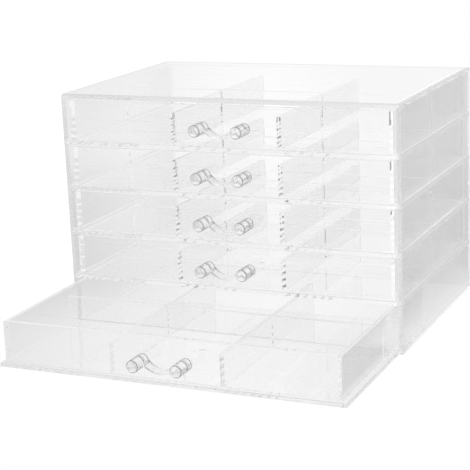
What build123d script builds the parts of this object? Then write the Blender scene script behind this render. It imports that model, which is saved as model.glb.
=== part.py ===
"""Clear jewellery box: an open-fronted cabinet with a stack of divided drawers.

The drawers' base plates are wider than their walls, and their edges slide in
grooves along the cabinet's sides. The lowest drawer stands open at rest.

Millimetres. X is across the box, Y runs from the front (minus) to the back, Z is up.
The origin is the middle of the cabinet's footprint, on the surface that it stands on.
"""

import os

from build123d import *

# Cabinet
cabinet_w = 236.0
cabinet_d = 157.0
panel_t = 3.0
bottom_t = 1.2
top_round = 1.5
side_front_round = 0.6

# Drawer stack
drawer_count = 5
stack_gap = 1.36
groove_depth = 1.6
groove_headroom = 0.5
flange_side_gap = 0.3
drawer_back_gap = 0.5
base_reach = 1.0
open_pull = 98.4

# Drawer
base_t = 2.6
base_corner_round = 0.8
drawer_h = 29.6
front_lip = 2.2
side_gap = 2.2
wall_t = 3.0
partition_t = 3.0
partition_h = 20.4
cross_h = 21.6
slot_gap = 0.1
edge_round = 0.4

# Handle
post_d = 8.0
post_l = 15.0
post_pitch = 29.0
post_round = 0.9
web_t = 1.6
web_rise = 2.4
web_inset = 2.6
web_sag = 6.8
web_l = 7.6

cut_overrun = 1.0

# Sizes that follow from the ones above
inner_w = cabinet_w - 2 * panel_t
drawer_pitch = drawer_h + stack_gap
side_h = bottom_t + drawer_count * drawer_pitch
cabinet_front_y = -cabinet_d / 2
cabinet_back_y = cabinet_d / 2
groove_h = base_t + groove_headroom
base_w = inner_w + 2 * (groove_depth - flange_side_gap)
closed_front_y = cabinet_front_y - base_reach
drawer_d = cabinet_back_y - panel_t - drawer_back_gap - closed_front_y
wall_w = inner_w - 2 * side_gap
wall_h = drawer_h - base_t
bin_w = (wall_w - 2 * wall_t - 2 * partition_t) / 3
partition_x = (bin_w + partition_t) / 2
partition_d = drawer_d - front_lip - 2 * wall_t
lap_h = partition_h / 2
slot_w = partition_t + 2 * slot_gap
post_x = post_pitch / 2
web_x = post_x - web_inset
web_bend = (web_x**2 + web_sag**2) / (2 * web_sag)
web_lower_share = (web_bend + web_t) / web_bend


def shelf_z(level):
    """Height of the underside of a drawer's base, counted from the lowest level, 0."""
    return bottom_t + level * drawer_pitch


def save(piece, name):
    """Label a finished piece and write it as one STEP file."""
    piece.label = name
    export_step(piece, f"parts/{name}.step")


# Cabinet panels
def make_side(side, name):
    """A side panel, on the left (-1) or the right (1), with a groove for each drawer's base."""
    groove_x = side * (inner_w / 2 + (groove_depth - cut_overrun) / 2)
    with BuildPart() as panel:
        with BuildSketch(Plane.XY):
            with Locations((side * (cabinet_w - panel_t) / 2, 0)):
                Rectangle(panel_t, cabinet_d)
        extrude(amount=side_h)
        front_edges = panel.faces().sort_by(Axis.Y)[0].edges().filter_by(Axis.Z)
        fillet(front_edges, side_front_round)
        with BuildSketch(Plane.XZ.offset(-cabinet_front_y + cut_overrun)):
            for level in range(drawer_count):
                with Locations((groove_x, shelf_z(level) + groove_h / 2)):
                    Rectangle(groove_depth + cut_overrun, groove_h)
        extrude(amount=-cabinet_d - 2 * cut_overrun, mode=Mode.SUBTRACT)
    save(panel.part, name)


def make_top():
    """The top panel, which covers the upper edges of the sides and the back."""
    with BuildPart() as panel:
        with BuildSketch(Plane.XY.offset(side_h)):
            Rectangle(cabinet_w, cabinet_d)
        extrude(amount=panel_t)
        fillet(panel.faces().sort_by(Axis.Z)[-1].edges(), top_round)
    save(panel.part, "cabinet_top")


def make_back():
    """The back panel, between the sides and under the top."""
    with BuildPart() as panel:
        with BuildSketch(Plane.XY):
            with Locations((0, cabinet_back_y - panel_t / 2)):
                Rectangle(inner_w, panel_t)
        extrude(amount=side_h)
    save(panel.part, "cabinet_back")


def make_bottom():
    """The thin bottom panel, between the sides and in front of the back."""
    with BuildPart() as panel:
        with BuildSketch(Plane.XY):
            with Locations((0, -panel_t / 2)):
                Rectangle(inner_w, cabinet_d - panel_t)
        extrude(amount=bottom_t)
    save(panel.part, "cabinet_bottom")


# Drawer pieces
def make_base(front_y, z, name):
    """The base plate, whose side edges run in the cabinet's grooves."""
    with BuildPart() as base:
        with BuildSketch(Plane.XY.offset(z)):
            with Locations((0, front_y + drawer_d / 2)):
                Rectangle(base_w, drawer_d)
        extrude(amount=base_t)
        fillet(base.edges().filter_by(Axis.Z), base_corner_round)
        fillet(base.faces().sort_by(Axis.Z)[-1].outer_wire().edges(), edge_round)
    save(base.part, name)


def make_cross_wall(middle_y, z, name):
    """A front or back wall, as wide as the drawer's box."""
    with BuildPart() as wall:
        with BuildSketch(Plane.XY.offset(z)):
            with Locations((0, middle_y)):
                Rectangle(wall_w, wall_t)
        extrude(amount=wall_h)
        fillet(wall.faces().sort_by(Axis.Z)[-1].edges().filter_by(Axis.X), edge_round)
    save(wall.part, name)


def make_side_wall(side, front_y, z, name):
    """A left (-1) or right (1) wall, between the front and back walls."""
    with BuildPart() as wall:
        with BuildSketch(Plane.XY.offset(z)):
            with Locations((side * (wall_w - wall_t) / 2, front_y + partition_d / 2)):
                Rectangle(wall_t, partition_d)
        extrude(amount=wall_h)
        fillet(wall.faces().sort_by(Axis.Z)[-1].edges().filter_by(Axis.Y), edge_round)
    save(wall.part, name)


def make_long_partition(side, front_y, z, name):
    """A lengthwise partition, slotted from its top edge where the cross partition drops in."""
    x = side * partition_x
    middle_y = front_y + partition_d / 2
    with BuildPart() as partition:
        with BuildSketch(Plane.XY.offset(z)):
            with Locations((x, middle_y)):
                Rectangle(partition_t, partition_d)
        extrude(amount=partition_h)
        fillet(partition.faces().sort_by(Axis.Z)[-1].edges().filter_by(Axis.Y), edge_round)
        with BuildSketch(Plane.XY.offset(z + lap_h)):
            with Locations((x, middle_y)):
                Rectangle(partition_t + 2 * cut_overrun, slot_w)
        extrude(amount=partition_h - lap_h + cut_overrun, mode=Mode.SUBTRACT)
    save(partition.part, name)


def make_cross_partition(middle_y, z, name):
    """The cross partition, slotted from below where it sits over the lengthwise ones."""
    with BuildPart() as partition:
        with BuildSketch(Plane.XY.offset(z)):
            with Locations((0, middle_y)):
                Rectangle(wall_w - 2 * wall_t, partition_t)
        extrude(amount=cross_h)
        fillet(partition.faces().sort_by(Axis.Z)[-1].edges().filter_by(Axis.X), edge_round)
        with BuildSketch(Plane.XY.offset(z)):
            with Locations((-partition_x, middle_y), (partition_x, middle_y)):
                Rectangle(slot_w, partition_t + 2 * cut_overrun)
        extrude(amount=lap_h, mode=Mode.SUBTRACT)
    save(partition.part, name)


def make_handle(wall_y, middle_z, name):
    """The handle: two round posts on the front wall, and a web in an arc between their tops."""
    wall_plane = Plane.XZ.offset(-wall_y)
    upper_z = middle_z + web_rise
    centre_z = upper_z - web_sag + web_bend
    lower_x = web_x * web_lower_share
    lower_z = centre_z - (centre_z - upper_z) * web_lower_share
    upper_middle_z = centre_z - web_bend
    lower_middle_z = upper_middle_z - web_t
    with BuildPart() as handle:
        with BuildSketch(wall_plane):
            with Locations((-post_x, middle_z), (post_x, middle_z)):
                Circle(post_d / 2)
        extrude(amount=post_l)
        fillet(handle.edges().filter_by(GeomType.CIRCLE).group_by(Axis.Y)[0], post_round)
        with BuildSketch(wall_plane):
            with BuildLine():
                ThreePointArc((-web_x, upper_z), (0, upper_middle_z), (web_x, upper_z))
                Line((web_x, upper_z), (lower_x, lower_z))
                ThreePointArc((lower_x, lower_z), (0, lower_middle_z), (-lower_x, lower_z))
                Line((-lower_x, lower_z), (-web_x, upper_z))
            make_face()
        extrude(amount=web_l)
    save(handle.part, name)


def make_drawer(number, level, pull):
    """All the pieces of one drawer, with its base at a level and pulled out by a distance."""
    name = f"drawer_{number}"
    front_y = closed_front_y - pull
    base_z = shelf_z(level)
    floor_z = base_z + base_t
    wall_y = front_y + front_lip
    inside_y = wall_y + wall_t
    make_base(front_y, base_z, f"{name}_base")
    make_cross_wall(wall_y + wall_t / 2, floor_z, f"{name}_front")
    make_cross_wall(front_y + drawer_d - wall_t / 2, floor_z, f"{name}_back")
    for side, side_name in ((-1, "left"), (1, "right")):
        make_side_wall(side, inside_y, floor_z, f"{name}_{side_name}_wall")
        make_long_partition(side, inside_y, floor_z, f"{name}_{side_name}_partition")
    make_cross_partition(inside_y + partition_d / 2, floor_z, f"{name}_cross_partition")
    make_handle(wall_y, base_z + drawer_h / 2, f"{name}_handle")


os.makedirs("parts", exist_ok=True)
make_top()
make_side(-1, "cabinet_left_side")
make_side(1, "cabinet_right_side")
make_back()
make_bottom()
for number in range(1, drawer_count + 1):
    level = drawer_count - number
    make_drawer(number, level, open_pull if level == 0 else 0)
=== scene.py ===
# %% [markdown]
# # A clear jewellery box with five drawers
# The real object is made of clear acrylic sheet: an open-fronted case, and five drawers whose
# base plates slide in grooves in its sides. The lowest drawer stands open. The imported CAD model
# is loaded first and is never changed. It says where each sheet lies, so the pieces below take
# their places from it, and each piece rides on the body that carries it.
# %% Load the frame
from math import asin, cos, pi, radians, sin

import bmesh
import bpy
from mathutils import Matrix, Vector


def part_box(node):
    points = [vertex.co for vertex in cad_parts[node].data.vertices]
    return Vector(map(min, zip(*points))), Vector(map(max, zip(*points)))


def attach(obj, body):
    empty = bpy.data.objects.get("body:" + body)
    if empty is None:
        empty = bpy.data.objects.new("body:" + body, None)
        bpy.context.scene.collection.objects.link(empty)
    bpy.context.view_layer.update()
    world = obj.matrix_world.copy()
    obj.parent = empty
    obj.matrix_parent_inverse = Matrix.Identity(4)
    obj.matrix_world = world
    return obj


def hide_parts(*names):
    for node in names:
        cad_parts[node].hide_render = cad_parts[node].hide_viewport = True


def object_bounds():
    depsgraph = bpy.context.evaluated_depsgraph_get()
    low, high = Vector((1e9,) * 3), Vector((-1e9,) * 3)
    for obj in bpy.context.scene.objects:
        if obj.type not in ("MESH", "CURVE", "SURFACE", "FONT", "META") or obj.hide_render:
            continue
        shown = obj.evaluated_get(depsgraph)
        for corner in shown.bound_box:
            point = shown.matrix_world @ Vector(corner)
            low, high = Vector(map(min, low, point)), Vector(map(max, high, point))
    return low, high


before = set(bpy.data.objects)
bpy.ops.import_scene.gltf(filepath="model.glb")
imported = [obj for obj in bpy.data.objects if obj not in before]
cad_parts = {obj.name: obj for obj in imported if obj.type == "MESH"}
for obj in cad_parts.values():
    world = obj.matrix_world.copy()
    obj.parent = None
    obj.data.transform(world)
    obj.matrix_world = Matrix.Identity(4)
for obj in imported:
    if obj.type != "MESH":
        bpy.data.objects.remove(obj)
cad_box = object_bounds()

scene = bpy.context.scene
scene.view_settings.view_transform = "Standard"
MM = 0.001
TINY = 0.01 * MM
DRAWER_COUNT = 5
DRAWERS = [f"drawer_{number}" for number in range(1, DRAWER_COUNT + 1)]

# %% [markdown]
# ## The camera
# The photograph was taken from the front right, a little above the box, with the camera tilted
# slightly. The angles below come from matching the corners of the case to the picture. The
# camera's three axes are worked out from them as vectors, because a roll about the line of
# sight is easier to follow that way than as Euler angles.
# %% Camera
case_left, case_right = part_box("cabinet_top")[0].x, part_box("cabinet_top")[1].x
case_width = case_right - case_left
case_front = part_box("cabinet_left_side")[0].y

turn, rise, roll = radians(24.6844), radians(14.4725), radians(-2.4115)
sight_length = 4.0848 * case_width
sight_point = Vector((-0.0168, 0.0853, 0.2733)) * case_width + Vector((0, case_front, 0))
frame_px, focal_px, film_width = 470, 1454.67, 36

backward = Vector((sin(turn) * cos(rise), -cos(turn) * cos(rise), sin(rise)))
level_right = (-backward).cross(Vector((0, 0, 1))).normalized()
level_up = level_right.cross(-backward)
camera_right = level_right * cos(roll) + level_up * sin(roll)
camera_up = level_up * cos(roll) - level_right * sin(roll)
camera_place = sight_point + backward * sight_length

camera = bpy.data.objects.new("camera", bpy.data.cameras.new("camera"))
scene.collection.objects.link(camera)
camera.data.sensor_width = film_width
camera.data.lens = film_width * focal_px / frame_px
axes = Matrix((camera_right, camera_up, backward)).transposed()
camera.matrix_world = Matrix.Translation(camera_place) @ axes.to_4x4()
scene.camera = camera
print("camera at", [round(value, 3) for value in camera_place], "lens", round(camera.data.lens, 1))

# %% [markdown]
# ## The floor
# Clear acrylic has no colour of its own: it shows what lies behind it and what it mirrors, so
# the studio makes most of this picture. Real cards could stand round the box, but they would
# show through it. Instead the floor is one sheet of white paper with a faint glow, and a Light
# Path node tells it which ray is asking. The camera sees plain white. Light that bounces off the
# paper finds it matte, and that keeps the box's shadow. A ray that went straight through the
# sheets finds a pool of light that fades to both sides of the line of sight, and a ray that was
# mirrored in a sheet finds a painted shade on the paper under the box.
# %% Floor sheet
floor_half, floor_drop = 6, 0.3 * MM
floor_mesh = bpy.data.meshes.new("floor")
floor_bm = bmesh.new()
bmesh.ops.create_grid(floor_bm, x_segments=1, y_segments=1, size=floor_half)
floor_bm.to_mesh(floor_mesh)
floor_bm.free()
floor = bpy.data.objects.new("floor", floor_mesh)
floor.location.z = -floor_drop
scene.collection.objects.link(floor)
print("floor:", 2 * floor_half, "m wide,", round(floor_drop / MM, 1), "mm below the box")


# %% Helpers for shader nodes
def link_value(tree, socket, value):
    """Set a socket to a number, or link it to another node's output."""
    if isinstance(value, (int, float)):
        socket.default_value = value
    else:
        tree.links.new(value, socket)


def calc(tree, operation, first, second=0.0):
    """A Math node."""
    node = tree.nodes.new("ShaderNodeMath")
    node.operation = operation
    link_value(tree, node.inputs[0], first)
    link_value(tree, node.inputs[1], second)
    return node.outputs[0]


def ease(tree, value, start, end, before, after):
    """Goes smoothly from one number to another while a value passes from start to end."""
    node = tree.nodes.new("ShaderNodeMapRange")
    node.interpolation_type = "SMOOTHSTEP"
    link_value(tree, node.inputs["Value"], value)
    numbers = {"From Min": start, "From Max": end, "To Min": before, "To Max": after}
    for name, number in numbers.items():
        link_value(tree, node.inputs[name], number)
    return node.outputs[0]


def choose(tree, condition, then, otherwise):
    """One number where a condition is 1, and another where it is 0."""
    node = tree.nodes.new("ShaderNodeMix")
    node.data_type = "FLOAT"
    link_value(tree, node.inputs["Factor"], condition)
    link_value(tree, node.inputs["A"], otherwise)
    link_value(tree, node.inputs["B"], then)
    return node.outputs["Result"]


print("node helpers:", [helper.__name__ for helper in (calc, ease, choose)])

# %% The pool of light, seen straight through the sheets
paper = bpy.data.materials.new("white_paper")
paper.use_nodes = True
tree = paper.node_tree
spot = tree.nodes.new("ShaderNodeSeparateXYZ")
tree.links.new(tree.nodes.new("ShaderNodeNewGeometry").outputs["Position"], spot.inputs[0])
spot_x, spot_y = spot.outputs["X"], spot.outputs["Y"]

turned_x = calc(tree, "MULTIPLY", spot_x, cos(turn))
turned_y = calc(tree, "MULTIPLY", spot_y, sin(turn))
sideways = calc(tree, "ADD", turned_x, turned_y)
squared_x = calc(tree, "MULTIPLY", spot_x, spot_x)
squared_y = calc(tree, "MULTIPLY", spot_y, spot_y)
away = calc(tree, "SQRT", calc(tree, "ADD", squared_x, squared_y))

pool_start, pool_end, pool_reach = -0.12, 0.05, 0.24
front_centre, back_centre = -0.045, 0.006
pool_centre = ease(tree, spot_y, pool_start, pool_end, front_centre, back_centre)
off_centre = calc(tree, "ABSOLUTE", calc(tree, "SUBTRACT", sideways, pool_centre))

front_dim, back_dim, far_dim = 0.62, 0.54, 0.70
far_start, far_end = 0.35, 0.65
rear_dim = ease(tree, away, far_start, far_end, back_dim, far_dim)
side_dim = ease(tree, spot_y, pool_start, pool_end, front_dim, rear_dim)
pool = ease(tree, off_centre, 0, pool_reach, 1, side_dim)

near_level, far_level, near_reach, far_reach = 0.985, 1.17, 0.15, 0.65
level = ease(tree, away, near_reach, far_reach, near_level, far_level)
through = calc(tree, "MULTIPLY", pool, level)
print("pool of light:", near_level, "at the box,", far_level, "far behind it")

# %% Painted shade on the paper under the box, seen by mirrored rays
ray = tree.nodes.new("ShaderNodeLightPath")
was_mirrored = calc(tree, "GREATER_THAN", ray.outputs["Glossy Depth"], 0)
# Mirrored rays see a painted shade on the paper under the box, lighter in front of it.
mirror_bright, painted_shade_under, mirror_back = 0.97, 0.80, 0.92
front_start, front_end, back_start, back_end = -0.22, -0.06, 0.08, 0.14
front = ease(tree, spot_y, front_start, front_end, mirror_bright, painted_shade_under)
under = ease(tree, spot_y, back_start, back_end, front, mirror_back)
print("mirrored paper:", mirror_bright, "in front,", painted_shade_under, "under the box")

# %% Where the paper ends for mirrored rays
# Beside the box and behind it, a mirrored ray passes the paper and reaches the room.
case_start, case_end = 0.115, 0.15
drawer_start, drawer_end, drawer_fade, drawer_out = 0.109, 0.122, -0.08, -0.04
room_start, room_end = -0.24, -0.18
beside_case = ease(tree, spot_x, case_start, case_end, 0, 1)
right_of_drawer = ease(tree, spot_x, drawer_start, drawer_end, 0, 1)
along_drawer = ease(tree, spot_y, drawer_fade, drawer_out, 1, 0)
beside_drawer = calc(tree, "MINIMUM", right_of_drawer, along_drawer)
beside = calc(tree, "MAXIMUM", beside_case, beside_drawer)
behind = ease(tree, spot_y, back_start, back_end, 0, 1)
past_front = ease(tree, spot_y, room_start, room_end, 0, 1)
outside = calc(tree, "MINIMUM", calc(tree, "MAXIMUM", beside, behind), past_front)
passes = calc(tree, "MULTIPLY", was_mirrored, outside)
print("paper ends", case_start, "to", case_end, "m to the right, for mirrored rays")

# %% White paper
paper_white, camera_white, glow_share = 0.85, 1.02, 0.96
matte = tree.nodes["Principled BSDF"]
matte.inputs["Base Color"].default_value = (paper_white, paper_white, paper_white, 1)
matte.inputs["Roughness"].default_value = 1
matte.inputs["Specular IOR Level"].default_value = 0
glow = tree.nodes.new("ShaderNodeEmission")
seen = choose(tree, was_mirrored, under, through)
seen = choose(tree, ray.outputs["Is Camera Ray"], camera_white, seen)
tree.links.new(seen, glow.inputs["Strength"])


def mix_shaders(tree, share, first, second):
    """A Mix Shader node between two shader nodes."""
    node = tree.nodes.new("ShaderNodeMixShader")
    tree.links.new(share, node.inputs["Fac"])
    tree.links.new(first.outputs[0], node.inputs[1])
    tree.links.new(second.outputs[0], node.inputs[2])
    return node


not_diffuse = calc(tree, "SUBTRACT", 1, ray.outputs["Is Diffuse Ray"])
lit_paper = mix_shaders(tree, calc(tree, "MULTIPLY", not_diffuse, glow_share), matte, glow)
opening = tree.nodes.new("ShaderNodeBsdfTransparent")
surface = mix_shaders(tree, passes, lit_paper, opening)
tree.links.new(surface.outputs[0], tree.nodes["Material Output"].inputs["Surface"])
floor_mesh.materials.append(paper)
print("paper:", len(tree.nodes), "nodes")

# %% [markdown]
# ## The room
# In the photograph the right side of the case is grey and the ends of the partitions carry dark
# stripes, because they mirror a dark part of the room at the back right. The flanges of the
# drawers catch a light part at the back left. Dark and white cards would do the same, but the
# world can give both at no cost, by the direction in which a mirrored ray leaves. Below the
# horizon, the slope of that direction across the box picks the dark or the light stretch. Above
# it there are pale walls and a grey ceiling, which the tops of the sheets mirror. One large soft
# lamp overhead gives the shadow.
# %% Walls and ceiling
world = bpy.data.worlds.new("studio")
world.use_nodes = True
scene.world = world
tree = world.node_tree
backdrop = tree.nodes["Background"]
backdrop.inputs["Color"].default_value = (1, 1, 1, 1)
way = tree.nodes.new("ShaderNodeSeparateXYZ")
tree.links.new(tree.nodes.new("ShaderNodeTexCoord").outputs["Generated"], way.inputs[0])
way_x, way_y, way_z = way.outputs["X"], way.outputs["Y"], way.outputs["Z"]

left_level, left_start, left_end = 0.88, -0.50, -0.28
ceiling_level, ceiling_start, ceiling_end = 0.70, 0.35, 0.65
right_level, right_start, right_end = 0.74, 0.15, 0.35
left_wall = ease(tree, way_x, left_start, left_end, left_level, mirror_bright)
left_and_top = ease(tree, way_z, ceiling_start, ceiling_end, left_wall, ceiling_level)
right_wall = ease(tree, way_x, right_start, right_end, mirror_bright, right_level)
walls = calc(tree, "MINIMUM", left_and_top, right_wall)
print("walls:", left_level, "left,", right_level, "right, ceiling", ceiling_level)

# %% Dark and light stretches below the horizon
least_depth = 0.05
across = calc(tree, "DIVIDE", way_x, calc(tree, "MAXIMUM", way_y, least_depth))

dark_start, dark_end, rear_shade, front_shade = 0.26, 0.40, 0.51, 0.28
shade_in, shade_full, shade_fade, shade_out = 0.15, 0.25, 0.50, 0.55
dark = ease(tree, across, dark_start, dark_end, rear_shade, front_shade)
dark_from = ease(tree, across, shade_in, shade_full, 0, 1)
dark_until = ease(tree, across, shade_fade, shade_out, 1, 0)
in_shade = calc(tree, "MINIMUM", dark_from, dark_until)

light_level, light_in, light_full, light_fade, light_out = 1.22, -0.36, -0.30, -0.20, -0.10
light_left = ease(tree, across, light_in, light_full, mirror_back, light_level)
light = ease(tree, across, light_fade, light_out, light_left, mirror_back)
below = calc(tree, "LESS_THAN", way_z, 0)
mirrored = choose(tree, below, choose(tree, in_shade, dark, light), walls)
print("stretches:", front_shade, "to", rear_shade, "at the right,", light_level, "at the left")

# %% World
soft_light = 0.6
bent_level, bent_start, bent_end = 0.25, 0.09, 0.22
ray = tree.nodes.new("ShaderNodeLightPath")
was_mirrored = calc(tree, "GREATER_THAN", ray.outputs["Glossy Depth"], 0)
bent = ease(tree, way_z, bent_start, bent_end, mirror_bright, bent_level)
seen = choose(tree, was_mirrored, mirrored, bent)
seen = choose(tree, ray.outputs["Is Diffuse Ray"], soft_light, seen)
seen = choose(tree, ray.outputs["Is Camera Ray"], camera_white, seen)
tree.links.new(seen, backdrop.inputs["Strength"])
print("world:", soft_light, "for soft light,", len(tree.nodes), "nodes")

# %% Lamp and light bounces
lamp_size, lamp_power, lamp_place = 1.2, 12, Vector((-0.4, 0.1, 1.6))
lamp = bpy.data.objects.new("softbox", bpy.data.lights.new("softbox", "AREA"))
lamp.data.shape = "RECTANGLE"
lamp.data.size = lamp.data.size_y = lamp_size
lamp.data.energy = lamp_power
lamp.location = lamp_place
lamp.rotation_euler = (sight_point - lamp_place).to_track_quat("-Z", "Y").to_euler()
scene.collection.objects.link(lamp)
lamp.visible_glossy = lamp.visible_transmission = False

# Light that runs along inside a sheet is mirrored many times before it gets out.
most_bounces = 1024
scene.cycles.max_bounces = most_bounces
scene.cycles.transmission_bounces = most_bounces
scene.cycles.glossy_bounces = most_bounces
scene.cycles.transparent_max_bounces = most_bounces
print("lamp:", lamp.data.energy, "W, up to", most_bounces, "bounces")

# %% [markdown]
# ## Clear acrylic
# Cast acrylic is colourless and bends light a little less than window glass does, with an index
# of 1.49. It isn't perfect, though: the sheet has long shallow ripples from its casting, hands
# leave faint smears, and a thin film of dust settles on it. A Principled shader with full
# transmission gives the clear body. The flaws could be painted into each material by hand, but
# all three materials share them, so each flaw is a node group, built once and placed in every
# material with its own values. Ripples feed a Bump node, smears the roughness, dust the colour.
# %% Flaws of the surface, as node groups
def flaw_group(name, inputs, output):
    """A node group with number inputs and one number output: the group, its inputs, its output."""
    group = bpy.data.node_groups.new(name, "ShaderNodeTree")
    for label, value in inputs:
        socket = group.interface.new_socket(label, in_out="INPUT", socket_type="NodeSocketFloat")
        socket.default_value = value
    group.interface.new_socket(output, in_out="OUTPUT", socket_type="NodeSocketFloat")
    given = group.nodes.new("NodeGroupInput").outputs
    return group, given, group.nodes.new("NodeGroupOutput").inputs[output]


def clouds(tree, scale, detail):
    """Soft noise from 0 to 1 that is fixed to the piece, so it moves with a drawer."""
    node = tree.nodes.new("ShaderNodeTexNoise")
    tree.links.new(tree.nodes.new("ShaderNodeTexCoord").outputs["Object"], node.inputs["Vector"])
    link_value(tree, node.inputs["Scale"], scale)
    node.inputs["Detail"].default_value = detail
    return node.outputs["Fac"]


ripples, given, result = flaw_group("cast_ripple", [("Waves per metre", 50)], "Height")
ripples.links.new(clouds(ripples, given["Waves per metre"], detail=1), result)

smear_start, smear_end = 0.56, 0.72
smears, given, result = flaw_group(
    "hand_smears", [("Smears per metre", 60), ("Haze", 0.02)], "Roughness"
)
smear_clouds = clouds(smears, given["Smears per metre"], detail=3)
patches = ease(smears, smear_clouds, smear_start, smear_end, 0, 1)
smears.links.new(calc(smears, "MULTIPLY", patches, given["Haze"]), result)

speck_start, speck_end, clean = 0.45, 0.75, 0.995
dust, given, result = flaw_group(
    "dust_film", [("Specks per metre", 900), ("Film", 0.01)], "Clearness"
)
speck_clouds = clouds(dust, given["Specks per metre"], detail=2)
specks = ease(dust, speck_clouds, speck_start, speck_end, 0, 1)
film = calc(dust, "MULTIPLY", specks, given["Film"])
dust.links.new(calc(dust, "SUBTRACT", clean, film), result)
print("flaws:", [group.name for group in (ripples, smears, dust)])

# %% [markdown]
# ## Edges and rims
# Two marks change over a piece, so the meshes carry them as attributes that the material
# reads. "sawn" marks the faces that the saw left satin instead of polished, and the material
# also makes them a little darker. "ring" marks where shade is painted: the rounded ends of the
# handles' posts, and the line where the web between them meets the wall. A clear rod looks dark
# there and along its outline, because light that enters near its rim is bent away from the eye.
# A studio with dark cards would show this by refraction alone, but this studio is white all
# round, so the shade is painted into the rim's colour, by Layer Weight round the outline and by
# the attribute at the ends.
# %% Painted shade at the rim of a post
rim_start, rim_end = 0.45, 0.92
web_middle, web_end, web_share = 2 * MM, 11 * MM, 0.15


def attribute(tree, name):
    """A number that a mesh carries on its faces or points."""
    node = tree.nodes.new("ShaderNodeAttribute")
    node.attribute_name = name
    return node.outputs["Fac"]


def painted_rim_shade(tree, depth):
    """Painted shade as a share of light let through: less round a post's outline and rounded ends.
    """
    facing = tree.nodes.new("ShaderNodeLayerWeight").outputs["Facing"]
    place = tree.nodes.new("ShaderNodeSeparateXYZ")
    tree.links.new(tree.nodes.new("ShaderNodeTexCoord").outputs["Object"], place.inputs[0])
    off_middle = calc(tree, "ABSOLUTE", place.outputs["X"])
    on_post = ease(tree, off_middle, web_middle, web_end, web_share, 1)
    # Layer Weight paints shade round the outline, weaker on the web.
    outline = calc(tree, "MULTIPLY", on_post, ease(tree, facing, rim_start, rim_end, 0, depth))
    clear_of_painted_outline = calc(tree, "SUBTRACT", 1, outline)
    # The ring attribute holds the shade painted at the posts' ends and along the web's line.
    clear_of_painted_rings = calc(tree, "SUBTRACT", 1, attribute(tree, "ring"))
    return calc(tree, "MULTIPLY", clear_of_painted_outline, clear_of_painted_rings)


print("rim: from", rim_start, "to", rim_end, "of the way to the outline")

# %% Clear acrylic
bend_index, edge_satin, edge_grey, shadow_clearness = 1.49, 0.25, 0.25, 0.985


def clear_acrylic(name, waves, ripple_depth, smear_count, haze, speck_count, dust_film, rim=0.0):
    """Clear acrylic with its own amounts of ripple, smears and dust, and painted rim shade if asked.
    """
    material = bpy.data.materials.new(name)
    material.use_nodes = True
    tree = material.node_tree
    glass = tree.nodes["Principled BSDF"]
    glass.inputs["Transmission Weight"].default_value = 1
    glass.inputs["IOR"].default_value = bend_index

    def flaw(group, **values):
        node = tree.nodes.new("ShaderNodeGroup")
        node.node_tree = group
        for label, value in values.items():
            node.inputs[label.replace("_", " ")].default_value = value
        return node.outputs[0]

    bump = tree.nodes.new("ShaderNodeBump")
    bump.inputs["Strength"].default_value = 1
    bump.inputs["Distance"].default_value = ripple_depth
    tree.links.new(flaw(ripples, Waves_per_metre=waves), bump.inputs["Height"])
    tree.links.new(bump.outputs["Normal"], glass.inputs["Normal"])

    sawn = attribute(tree, "sawn")
    satin = calc(tree, "MULTIPLY", sawn, edge_satin)
    smeared = flaw(smears, Smears_per_metre=smear_count, Haze=haze)
    tree.links.new(calc(tree, "MAXIMUM", satin, smeared), glass.inputs["Roughness"])

    dust_and_painted_shade = flaw(dust, Specks_per_metre=speck_count, Film=dust_film)
    unsawn = calc(tree, "SUBTRACT", 1, calc(tree, "MULTIPLY", sawn, edge_grey))
    dust_and_painted_shade = calc(tree, "MULTIPLY", dust_and_painted_shade, unsawn)
    # The handles get painted shade round the rim and at the rings.
    if rim:
        dust_and_painted_shade = calc(tree, "MULTIPLY", dust_and_painted_shade, painted_rim_shade(tree, rim))
    tint = tree.nodes.new("ShaderNodeCombineColor")
    for channel in ("Red", "Green", "Blue"):
        tree.links.new(dust_and_painted_shade, tint.inputs[channel])
    tree.links.new(tint.outputs["Color"], glass.inputs["Base Color"])

    clear = tree.nodes.new("ShaderNodeBsdfTransparent")
    clear.inputs["Color"].default_value = (shadow_clearness, shadow_clearness, shadow_clearness, 1)
    is_shadow = tree.nodes.new("ShaderNodeLightPath").outputs["Is Shadow Ray"]
    surface = mix_shaders(tree, is_shadow, glass, clear)
    tree.links.new(surface.outputs[0], tree.nodes["Material Output"].inputs["Surface"])
    return material


print("acrylic: index", bend_index, "and", edge_satin, "rough where it was sawn")

# %% Three materials
acrylic = {
    "case_acrylic": clear_acrylic(
        "case_acrylic", waves=45, ripple_depth=0.03 * MM, smear_count=40, haze=0.02,
        speck_count=700, dust_film=0.01,
    ),
    "drawer_acrylic": clear_acrylic(
        "drawer_acrylic", waves=60, ripple_depth=0.03 * MM, smear_count=60, haze=0.02,
        speck_count=900, dust_film=0.01,
    ),
    "handle_acrylic": clear_acrylic(
        "handle_acrylic", waves=250, ripple_depth=0.01 * MM, smear_count=200, haze=0.03,
        speck_count=1500, dust_film=0.01, rim=0.97,
    ),
}
print("materials:", list(acrylic))

# %% [markdown]
# ## Welded sheets
# Acrylic sheets are joined with a solvent that melts both faces, so light meets no surface inside
# a joint. Two solids that only touch would leave one there, and the partitions' ends would lose
# the bright and dark stripes that the real ones show. So the sheets of one welded group are
# made as one closed mesh: a grid is laid along all their faces, each cell of it is full or empty,
# and the faces between full and empty cells are kept. A Boolean modifier could join the sheets
# too, but it is less sure of itself where faces lie exactly on each other, as they do here.
# %% Full cells of the grid
def holds(pair, point):
    """Whether a point lies between two corners."""
    return all(pair[0][axis] < point[axis] < pair[1][axis] for axis in range(3))


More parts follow.
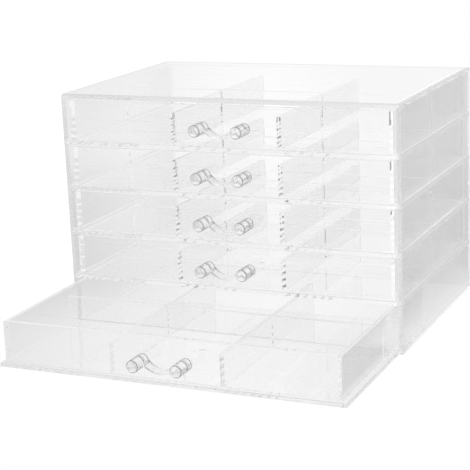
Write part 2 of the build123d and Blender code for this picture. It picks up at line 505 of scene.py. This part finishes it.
def full_cells(marks, boxes, cuts):
    """The cells of a grid that lie in a box and in no cut."""
    full = set()
    spans = [range(len(line) - 1) for line in marks]
    for cell in ((i, j, k) for i in spans[0] for j in spans[1] for k in spans[2]):
        middle = [(line[at] + line[at + 1]) / 2 for line, at in zip(marks, cell)]
        in_box = any(holds(pair, middle) for pair in boxes)
        if in_box and not any(holds(pair, middle) for pair in cuts):
            full.add(cell)
    return full


test_marks, test_block = [[0, 1, 2]] * 3, ((0, 0, 0), (1, 1, 1))
print("grid: a test block fills", len(full_cells(test_marks, [test_block], ())), "of 8 cells")

# %% Weld sheets into one skin
same_plane, digits = radians(1), 7


def weld_sheets(boxes, cuts=()):
    """One closed skin around boxes, less the cuts, which are all pairs of corners."""
    marks = []
    for axis in range(3):
        places = {round(corner[axis], digits) for pair in (*boxes, *cuts) for corner in pair}
        marks.append(sorted(places))
    full = full_cells(marks, boxes, cuts)
    bm = bmesh.new()
    corners = {}

    def corner(index):
        if index not in corners:
            corners[index] = bm.verts.new([line[at] for line, at in zip(marks, index)])
        return corners[index]

    for cell in sorted(full):
        for axis in range(3):
            for side in (0, 1):
                neighbour = list(cell)
                neighbour[axis] += 2 * side - 1
                if tuple(neighbour) in full:
                    continue
                ring = []
                for step in ((0, 0), (1, 0), (1, 1), (0, 1)):
                    index = list(cell)
                    index[axis] += side
                    index[(axis + 1) % 3] += step[0]
                    index[(axis + 2) % 3] += step[1]
                    ring.append(corner(tuple(index)))
                bm.faces.new(ring if side else ring[::-1])
    bmesh.ops.dissolve_limit(bm, angle_limit=same_plane, verts=bm.verts, edges=bm.edges)
    return bm


two_sheets = weld_sheets([test_block, ((1, 0, 0), (2, 1, 2))])
print("weld: a test step of two blocks has", len(two_sheets.faces), "faces")
two_sheets.free()

# %% [markdown]
# ## Soft edges
# The edges of the sheets are eased, so that they don't cut a finger, and the top of the case has
# a clear rounding. A Bevel modifier can round by a weight that is stored on each edge, so one
# modifier gives several radii. It is applied at once, because the finished mesh is then marked
# face by face and copied to the other drawers.
# %% Soften edges
corner_angle = 0.5


def finished_mesh(piece, name):
    """The mesh of a piece with its modifiers applied."""
    evaluated = piece.evaluated_get(bpy.context.evaluated_depsgraph_get())
    mesh = bpy.data.meshes.new_from_object(evaluated)
    mesh.name = name
    return mesh


def is_upright(edge):
    """Whether an edge climbs, instead of lying level."""
    one, other = (vertex.co for vertex in edge.verts)
    return abs(one.z - other.z) > TINY


def soften(name, bm, radius_of, largest, steps):
    """Round each edge by the radius that radius_of gives for it, and return the mesh."""
    weight = bm.edges.layers.float.new("bevel_weight_edge")
    for edge in bm.edges:
        if edge.is_convex and edge.calc_face_angle() > corner_angle:
            edge[weight] = radius_of(edge) / largest
    sharp = bpy.data.meshes.new(name + "_sharp")
    bm.to_mesh(sharp)
    bm.free()
    piece = bpy.data.objects.new(name, sharp)
    scene.collection.objects.link(piece)
    bevel = piece.modifiers.new("soft_edges", "BEVEL")
    bevel.limit_method = "WEIGHT"
    bevel.width = largest
    bevel.segments = steps
    bevel.use_clamp_overlap = False
    rounded = finished_mesh(piece, name)
    bpy.data.objects.remove(piece)
    bpy.data.meshes.remove(sharp)
    return rounded


print("soften: edges that turn by more than", corner_angle, "radians can be rounded")

# %% [markdown]
# ## Showing a piece
# A finished mesh becomes one object. It rides on the body that moves it, stands for the CAD
# sheets that it is made of, which are then hidden, and takes its finish from the record's slot.
# Before that, the faces of the case and the trays are marked as sawn or polished, in an attribute
# that the material reads.
# %% Mark and show a piece
def mark_sawn(mesh, is_sawn):
    """Store on each face how satin the saw left it, from 0 for polished to 1."""
    layer = mesh.attributes.new("sawn", "FLOAT", "FACE")
    layer.data.foreach_set("value", [float(is_sawn(face.center)) for face in mesh.polygons])


def show(name, mesh, slot, body, *nodes):
    """Put a finished mesh in the scene, on its body, in place of the CAD sheets it is made of."""
    mesh.materials.clear()
    mesh.materials.append(acrylic[slot])
    piece = bpy.data.objects.new(name, mesh)
    scene.collection.objects.link(piece)
    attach(piece, body)
    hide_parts(*nodes)


print("pieces can take:", list(acrylic))

# %% [markdown]
# ## The case
# The case is a top, two sides, a back and a thin bottom. Each side has five grooves, milled from
# the front to the back, and a drawer's base plate slides in each pair of them. The CAD sheets
# could be shown as they are, but they only touch, so the case is welded from their boxes with the
# grooves as cuts. The top's upper edges are rounded and the sides' front edges eased, as on the
# CAD sheets. The front edges were sawn and not polished, so they show as soft grey lines, the
# top's a little clearer than the sides'.
# %% Grooves
case_nodes = ["cabinet_top", "cabinet_left_side", "cabinet_right_side"]
case_nodes += ["cabinet_back", "cabinet_bottom"]
groove_side_gap, groove_headroom, groove_overrun = 0.3 * MM, 0.5 * MM, 1
inner_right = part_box("cabinet_right_side")[0].x
groove_front, groove_back = cad_box[0][1] - groove_overrun, cad_box[1][1] + groove_overrun
grooves = []
for drawer in DRAWERS:
    low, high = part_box(drawer + "_base")
    groove_end = high.x + groove_side_gap
    for side in (-1, 1):
        left, right = sorted((side * inner_right, side * groove_end))
        near_corner = Vector((left, groove_front, low.z))
        grooves.append((near_corner, Vector((right, groove_back, high.z + groove_headroom))))
print("grooves:", len(grooves), "of", round((groove_end - inner_right) / MM, 2), "mm depth")

# %% Case
top_round, side_round, round_steps = 1.5 * MM, 0.6 * MM, 6
sawn_depth, top_sawn = 1.6 * MM, 0.8
top_low, top_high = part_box("cabinet_top")


def case_radius(edge):
    """The rounding of an edge of the case: large on the top, small at the sides' front."""
    one, other = (vertex.co for vertex in edge.verts)
    if min(one.z, other.z) > top_high.z - TINY:
        return top_round
    if is_upright(edge) and max(one.y, other.y) < case_front + TINY:
        return side_round
    return 0.0


def case_sawn(centre):
    """The front edges are sawn, the top's a little less so."""
    if centre.y > case_front + sawn_depth:
        return 0.0
    return top_sawn if centre.z > top_low.z else 1.0


case_skin = weld_sheets([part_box(node) for node in case_nodes], grooves)
case_mesh = soften("case", case_skin, case_radius, top_round, round_steps)
mark_sawn(case_mesh, case_sawn)
show("case", case_mesh, "case_acrylic", "cabinet", *case_nodes)
print("case:", len(case_mesh.polygons), "faces")

# %% [markdown]
# ## The drawers' trays
# A tray is a base plate with four walls, two long partitions and a cross partition, which are
# slotted into each other like an egg crate and glued. All five trays are alike, so one is welded
# from the first drawer's boxes and copied to the others. The upper edges are eased and the base's
# corners rounded, as on the CAD sheets. The underside is lifted by a hair, so that no face of it
# lies exactly on a face of its groove. In the photograph a short dark dash shows in each drawer,
# on the base near the middle, so each base gets a small round dent there. It could be a bump in
# the material, but a dent in the mesh also bends the light, so a flattened ball is cut out.
# %% Tray
slide_gap = 0.05 * MM
corner_round, edge_round, tray_steps = 0.8 * MM, 0.4 * MM, 3
tray_parts = ["base", "front", "back", "left_wall", "right_wall"]
tray_parts += ["left_partition", "right_partition", "cross_partition"]
first = DRAWERS[0]
tray_boxes = {part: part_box(f"{first}_{part}") for part in tray_parts}
tray_boxes["base"][0].z += slide_gap
base_low, base_high = tray_boxes["base"]


def tray_radius(edge):
    """The rounding of an edge of a tray: the base's corners, and level edges above its underside."""
    one, other = (vertex.co for vertex in edge.verts)
    if is_upright(edge):
        return corner_round if max(one.z, other.z) < base_high.z + TINY else 0.0
    return edge_round if one.z > base_low.z + TINY else 0.0


tray_skin = weld_sheets(list(tray_boxes.values()))
tray_mesh = soften("tray", tray_skin, tray_radius, corner_round, tray_steps)
print("tray:", len(tray_mesh.polygons), "faces")


# %% Join or cut meshes
def as_mesh(name, bm):
    """A mesh from a mesh under construction, which is then freed."""
    mesh = bpy.data.meshes.new(name)
    bm.to_mesh(mesh)
    bm.free()
    return mesh


def combine(name, operation, first, *others):
    """Join meshes, or cut the others from the first, and return one mesh."""
    pieces = []
    for mesh in (first, *others):
        pieces.append(bpy.data.objects.new(mesh.name, mesh))
        scene.collection.objects.link(pieces[-1])
    for other in pieces[1:]:
        step = pieces[0].modifiers.new("combine", "BOOLEAN")
        step.operation = operation
        step.solver = "EXACT"
        step.object = other
    result = finished_mesh(pieces[0], name)
    for piece in pieces:
        bpy.data.objects.remove(piece)
    return result


print("combine: joins meshes, or cuts them from the first")

# %% Round dent
dent_radius, dent_depth, dent_left, dent_back = 2.6 * MM, 0.4 * MM, 2.5 * MM, 61 * MM
dent_place = Vector((-dent_left, base_low.y + dent_back, base_high.z))
around_steps, level_limit = 48, 0.99999
ball = bmesh.new()
bmesh.ops.create_uvsphere(ball, u_segments=around_steps, v_segments=around_steps // 2, radius=1)
ball_size = Matrix.Diagonal((dent_radius, dent_radius, dent_depth, 1))
bmesh.ops.transform(ball, verts=ball.verts, matrix=Matrix.Translation(dent_place) @ ball_size)
tray_mesh = combine("tray", "DIFFERENCE", tray_mesh, as_mesh("ball", ball))
for face in tray_mesh.polygons:
    in_dent = (face.center - dent_place).length < dent_radius
    face.use_smooth = in_dent and abs(face.normal.z) < level_limit
print("dent:", round(2 * dent_radius / MM, 1), "mm wide; tray now", len(tray_mesh.polygons), "faces")

# %% Five trays
lip_depth, lip_satin = 0.5 * MM, 0.2


def tray_sawn(centre):
    """The front edge of the base is a little satin."""
    return lip_satin if centre.y < base_low.y + lip_depth else 0.0


mark_sawn(tray_mesh, tray_sawn)
first_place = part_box(first + "_base")[0]
for drawer in DRAWERS:
    mesh = tray_mesh.copy()
    mesh.transform(Matrix.Translation(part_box(drawer + "_base")[0] - first_place))
    nodes = [f"{drawer}_{part}" for part in tray_parts]
    show(drawer + "_tray", mesh, "drawer_acrylic", drawer, *nodes)
print("trays:", len(DRAWERS))

# %% [markdown]
# ## The handles
# Each handle is moulded in one piece: two round posts with rounded ends, and a web that hangs in
# an arc between their upper parts, as a rest for a fingertip. A post could be a plain cylinder
# with a bevel, but turning its profile round the axis, as on a lathe, also gives the rounded foot
# and a narrow band near the wall, where dark rings are painted as shade. The web lies between
# two arcs round one centre, so it is equally thick all along. A union then makes one closed skin
# of the three, and a hair's gap keeps the foot off the wall.
# %% Turn a post
post_radius, post_length, post_apart = 4.0 * MM, 15.0 * MM, 29.0 * MM
post_round, root_round, root_band = 0.9 * MM, 0.8 * MM, 2.0 * MM
band_shares = (0.7, 1.0)
glue_gap = 0.05 * MM
round_about, quarter_steps = 128, 6


def turned_post(x):
    """A round post that stands out from the wall along minus Y, with rounded ends."""
    angles = [pi / 2 * step / quarter_steps for step in range(quarter_steps + 1)]
    curve = [(1 - cos(angle), 1 - sin(angle)) for angle in angles]
    profile = []
    for inward, along in curve[::-1]:
        profile.append((post_radius - root_round * inward, glue_gap + root_round * along))
    for share in band_shares:
        profile.append((post_radius, root_band * share))
    for inward, along in curve:
        profile.append((post_radius - post_round * inward, post_length - post_round * along))
    bm = bmesh.new()
    rings = []
    for radius, reach in profile:
        ring = []
        for i in range(round_about):
            angle = 2 * pi * i / round_about
            ring.append(bm.verts.new((x + radius * cos(angle), -reach, radius * sin(angle))))
        rings.append(ring)
    for one, other in zip(rings, rings[1:]):
        for i in range(round_about):
            bm.faces.new((one[i], one[i - 1], other[i - 1], other[i]))
    bm.faces.new(rings[0])
    bm.faces.new(rings[-1][::-1])
    bmesh.ops.recalc_face_normals(bm, faces=bm.faces)
    return bm


posts = []
for side, side_name in ((-1, "left"), (1, "right")):
    posts.append(as_mesh(side_name + "_post", turned_post(side * post_apart / 2)))
print("post:", len(posts[0].polygons), "faces")

# %% Hang the web
web_thick, web_rise, web_inset, web_sag = 1.6 * MM, 2.4 * MM, 2.6 * MM, 6.8 * MM
web_length, web_line, web_steps = 7.6 * MM, 2.4 * MM, 48
web_half = post_apart / 2 - web_inset
web_bend = (web_half * web_half + web_sag * web_sag) / (2 * web_sag)
web_centre = web_rise - web_sag + web_bend


def hanging_web():
    """The strip that hangs in an arc between the upper parts of the posts."""
    widest = asin(web_half / web_bend)
    upper, lower = [], []
    for i in range(web_steps + 1):
        angle = widest * (2 * i / web_steps - 1)
        for radius, line in ((web_bend, upper), (web_bend + web_thick, lower)):
            line.append((radius * sin(angle), web_centre - radius * cos(angle)))
    outline = upper + lower[::-1]
    bm = bmesh.new()
    rows = []
    for reach in (glue_gap, web_line / 2, web_line, web_length):
        rows.append([bm.verts.new((x, -reach, z)) for x, z in outline])
    bm.faces.new(rows[0])
    bm.faces.new(rows[-1][::-1])
    for one, other in zip(rows, rows[1:]):
        for i in range(len(outline)):
            bm.faces.new((one[i - 1], one[i], other[i], other[i - 1]))
    bmesh.ops.recalc_face_normals(bm, faces=bm.faces)
    return bm


end_limit, crease_angle = 0.999, radians(40)
handle_mesh = combine("handle", "UNION", *posts, as_mesh("web", hanging_web()))
for face in handle_mesh.polygons:
    face.use_smooth = abs(face.normal.y) < end_limit
handle_mesh.set_sharp_from_angle(angle=crease_angle)
print("handle:", len(handle_mesh.polygons), "faces")

# %% Painted shade at the rings and along the web's line
root_painted_shade, front_painted_shade, line_painted_shade = 0.97, 0.88, 0.9


def post_painted_shade(reach):
    """Painted shade of a post at its root and its front rounding, most in their middle."""
    root_part = 1 - (reach - glue_gap) / (root_band - glue_gap)
    front_part = 1 - (post_length - reach) / post_round
    if 0 < root_part < 1:
        return root_painted_shade * sin(pi * root_part)
    return front_painted_shade * sin(pi * front_part) if 0 < front_part < 1 else 0.0


def web_painted_shade(point):
    """Painted shade on the web's upper face along the wall, least in the middle."""
    below_upper = Vector((point.x, point.z - web_centre)).length - web_bend
    on_line = below_upper < web_thick / 2 and -point.y < web_line - TINY
    return line_painted_shade * min(1, abs(point.x) / web_half) if on_line else 0.0


def painted_ring_shade(point):
    """The painted shade at a point of a handle, on a post or on the web."""
    off_axis = Vector((abs(point.x) - post_apart / 2, point.z)).length
    return post_painted_shade(-point.y) if off_axis <= post_radius + glue_gap else web_painted_shade(point)


# Each point of a handle carries its painted shade in the ring attribute.
painted_shades = [painted_ring_shade(vertex.co) for vertex in handle_mesh.vertices]
handle_mesh.attributes.new("ring", "FLOAT", "POINT").data.foreach_set("value", painted_shades)
print("rings:", sum(shade > 0 for shade in painted_shades), "of", len(painted_shades), "points")

# %% Five handles
for drawer in DRAWERS:
    wall_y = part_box(drawer + "_front")[0].y
    post_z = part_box(drawer + "_handle")[1].z - post_radius
    mesh = handle_mesh.copy()
    mesh.transform(Matrix.Translation((0, wall_y, post_z)))
    show(drawer + "_pull", mesh, "handle_acrylic", drawer, drawer + "_handle")
print("handles:", len(DRAWERS))
